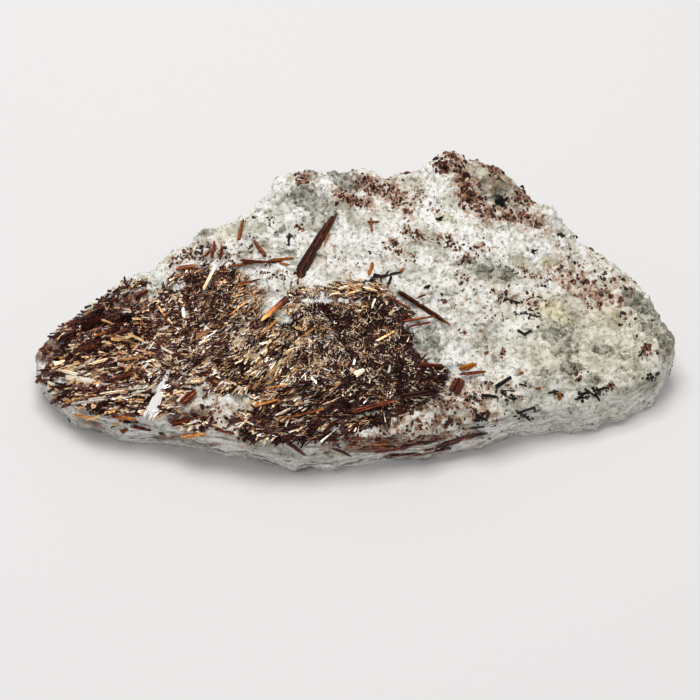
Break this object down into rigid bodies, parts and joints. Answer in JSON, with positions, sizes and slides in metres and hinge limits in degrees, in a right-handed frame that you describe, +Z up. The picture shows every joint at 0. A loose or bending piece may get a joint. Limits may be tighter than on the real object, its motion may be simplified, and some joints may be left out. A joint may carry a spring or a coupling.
{
  "type": "astrophyllite specimen",
  "caption": "Loose hand specimen of white feldspar rock with a felted mass of bronze-brown astrophyllite blades; lies on a flat broken underside.",
  "frame": {"origin": "under the middle of the stone's outline, on the surface it lies on", "axes": "+X along the stone's length to its right tip, +Y to the high edge at the back, +Z up"},
  "size_m": [0.1195, 0.0577, 0.0312],
  "materials": {
    "feldspar_rock": "broken, sugary grained, with glassy grey and red-brown grains",
    "astrophyllite": "bladed, bronze lustre",
    "orange_astrophyllite": "thin flakes, amber, glossy",
    "aegirine": "black, glassy"
  },
  "bodies": {
    "root": {"matrix": "feldspar_rock", "blade_mass": "astrophyllite", "big_blade": "astrophyllite", "right_blade": "astrophyllite", "upright_blade": "astrophyllite", "short_blade": "astrophyllite", "lying_blade": "astrophyllite", "thin_needle": "astrophyllite", "mica_block": "astrophyllite", "orange_blade": "orange_astrophyllite", "orange_flake": "orange_astrophyllite", "aegirine_pair": "aegirine", "aegirine_prism": "aegirine", "aegirine_streak": "aegirine", "aegirine_sprig": "aegirine", "aegirine_bundle": "aegirine", "dark_sprig": "aegirine"}
  },
  "joints": []
}
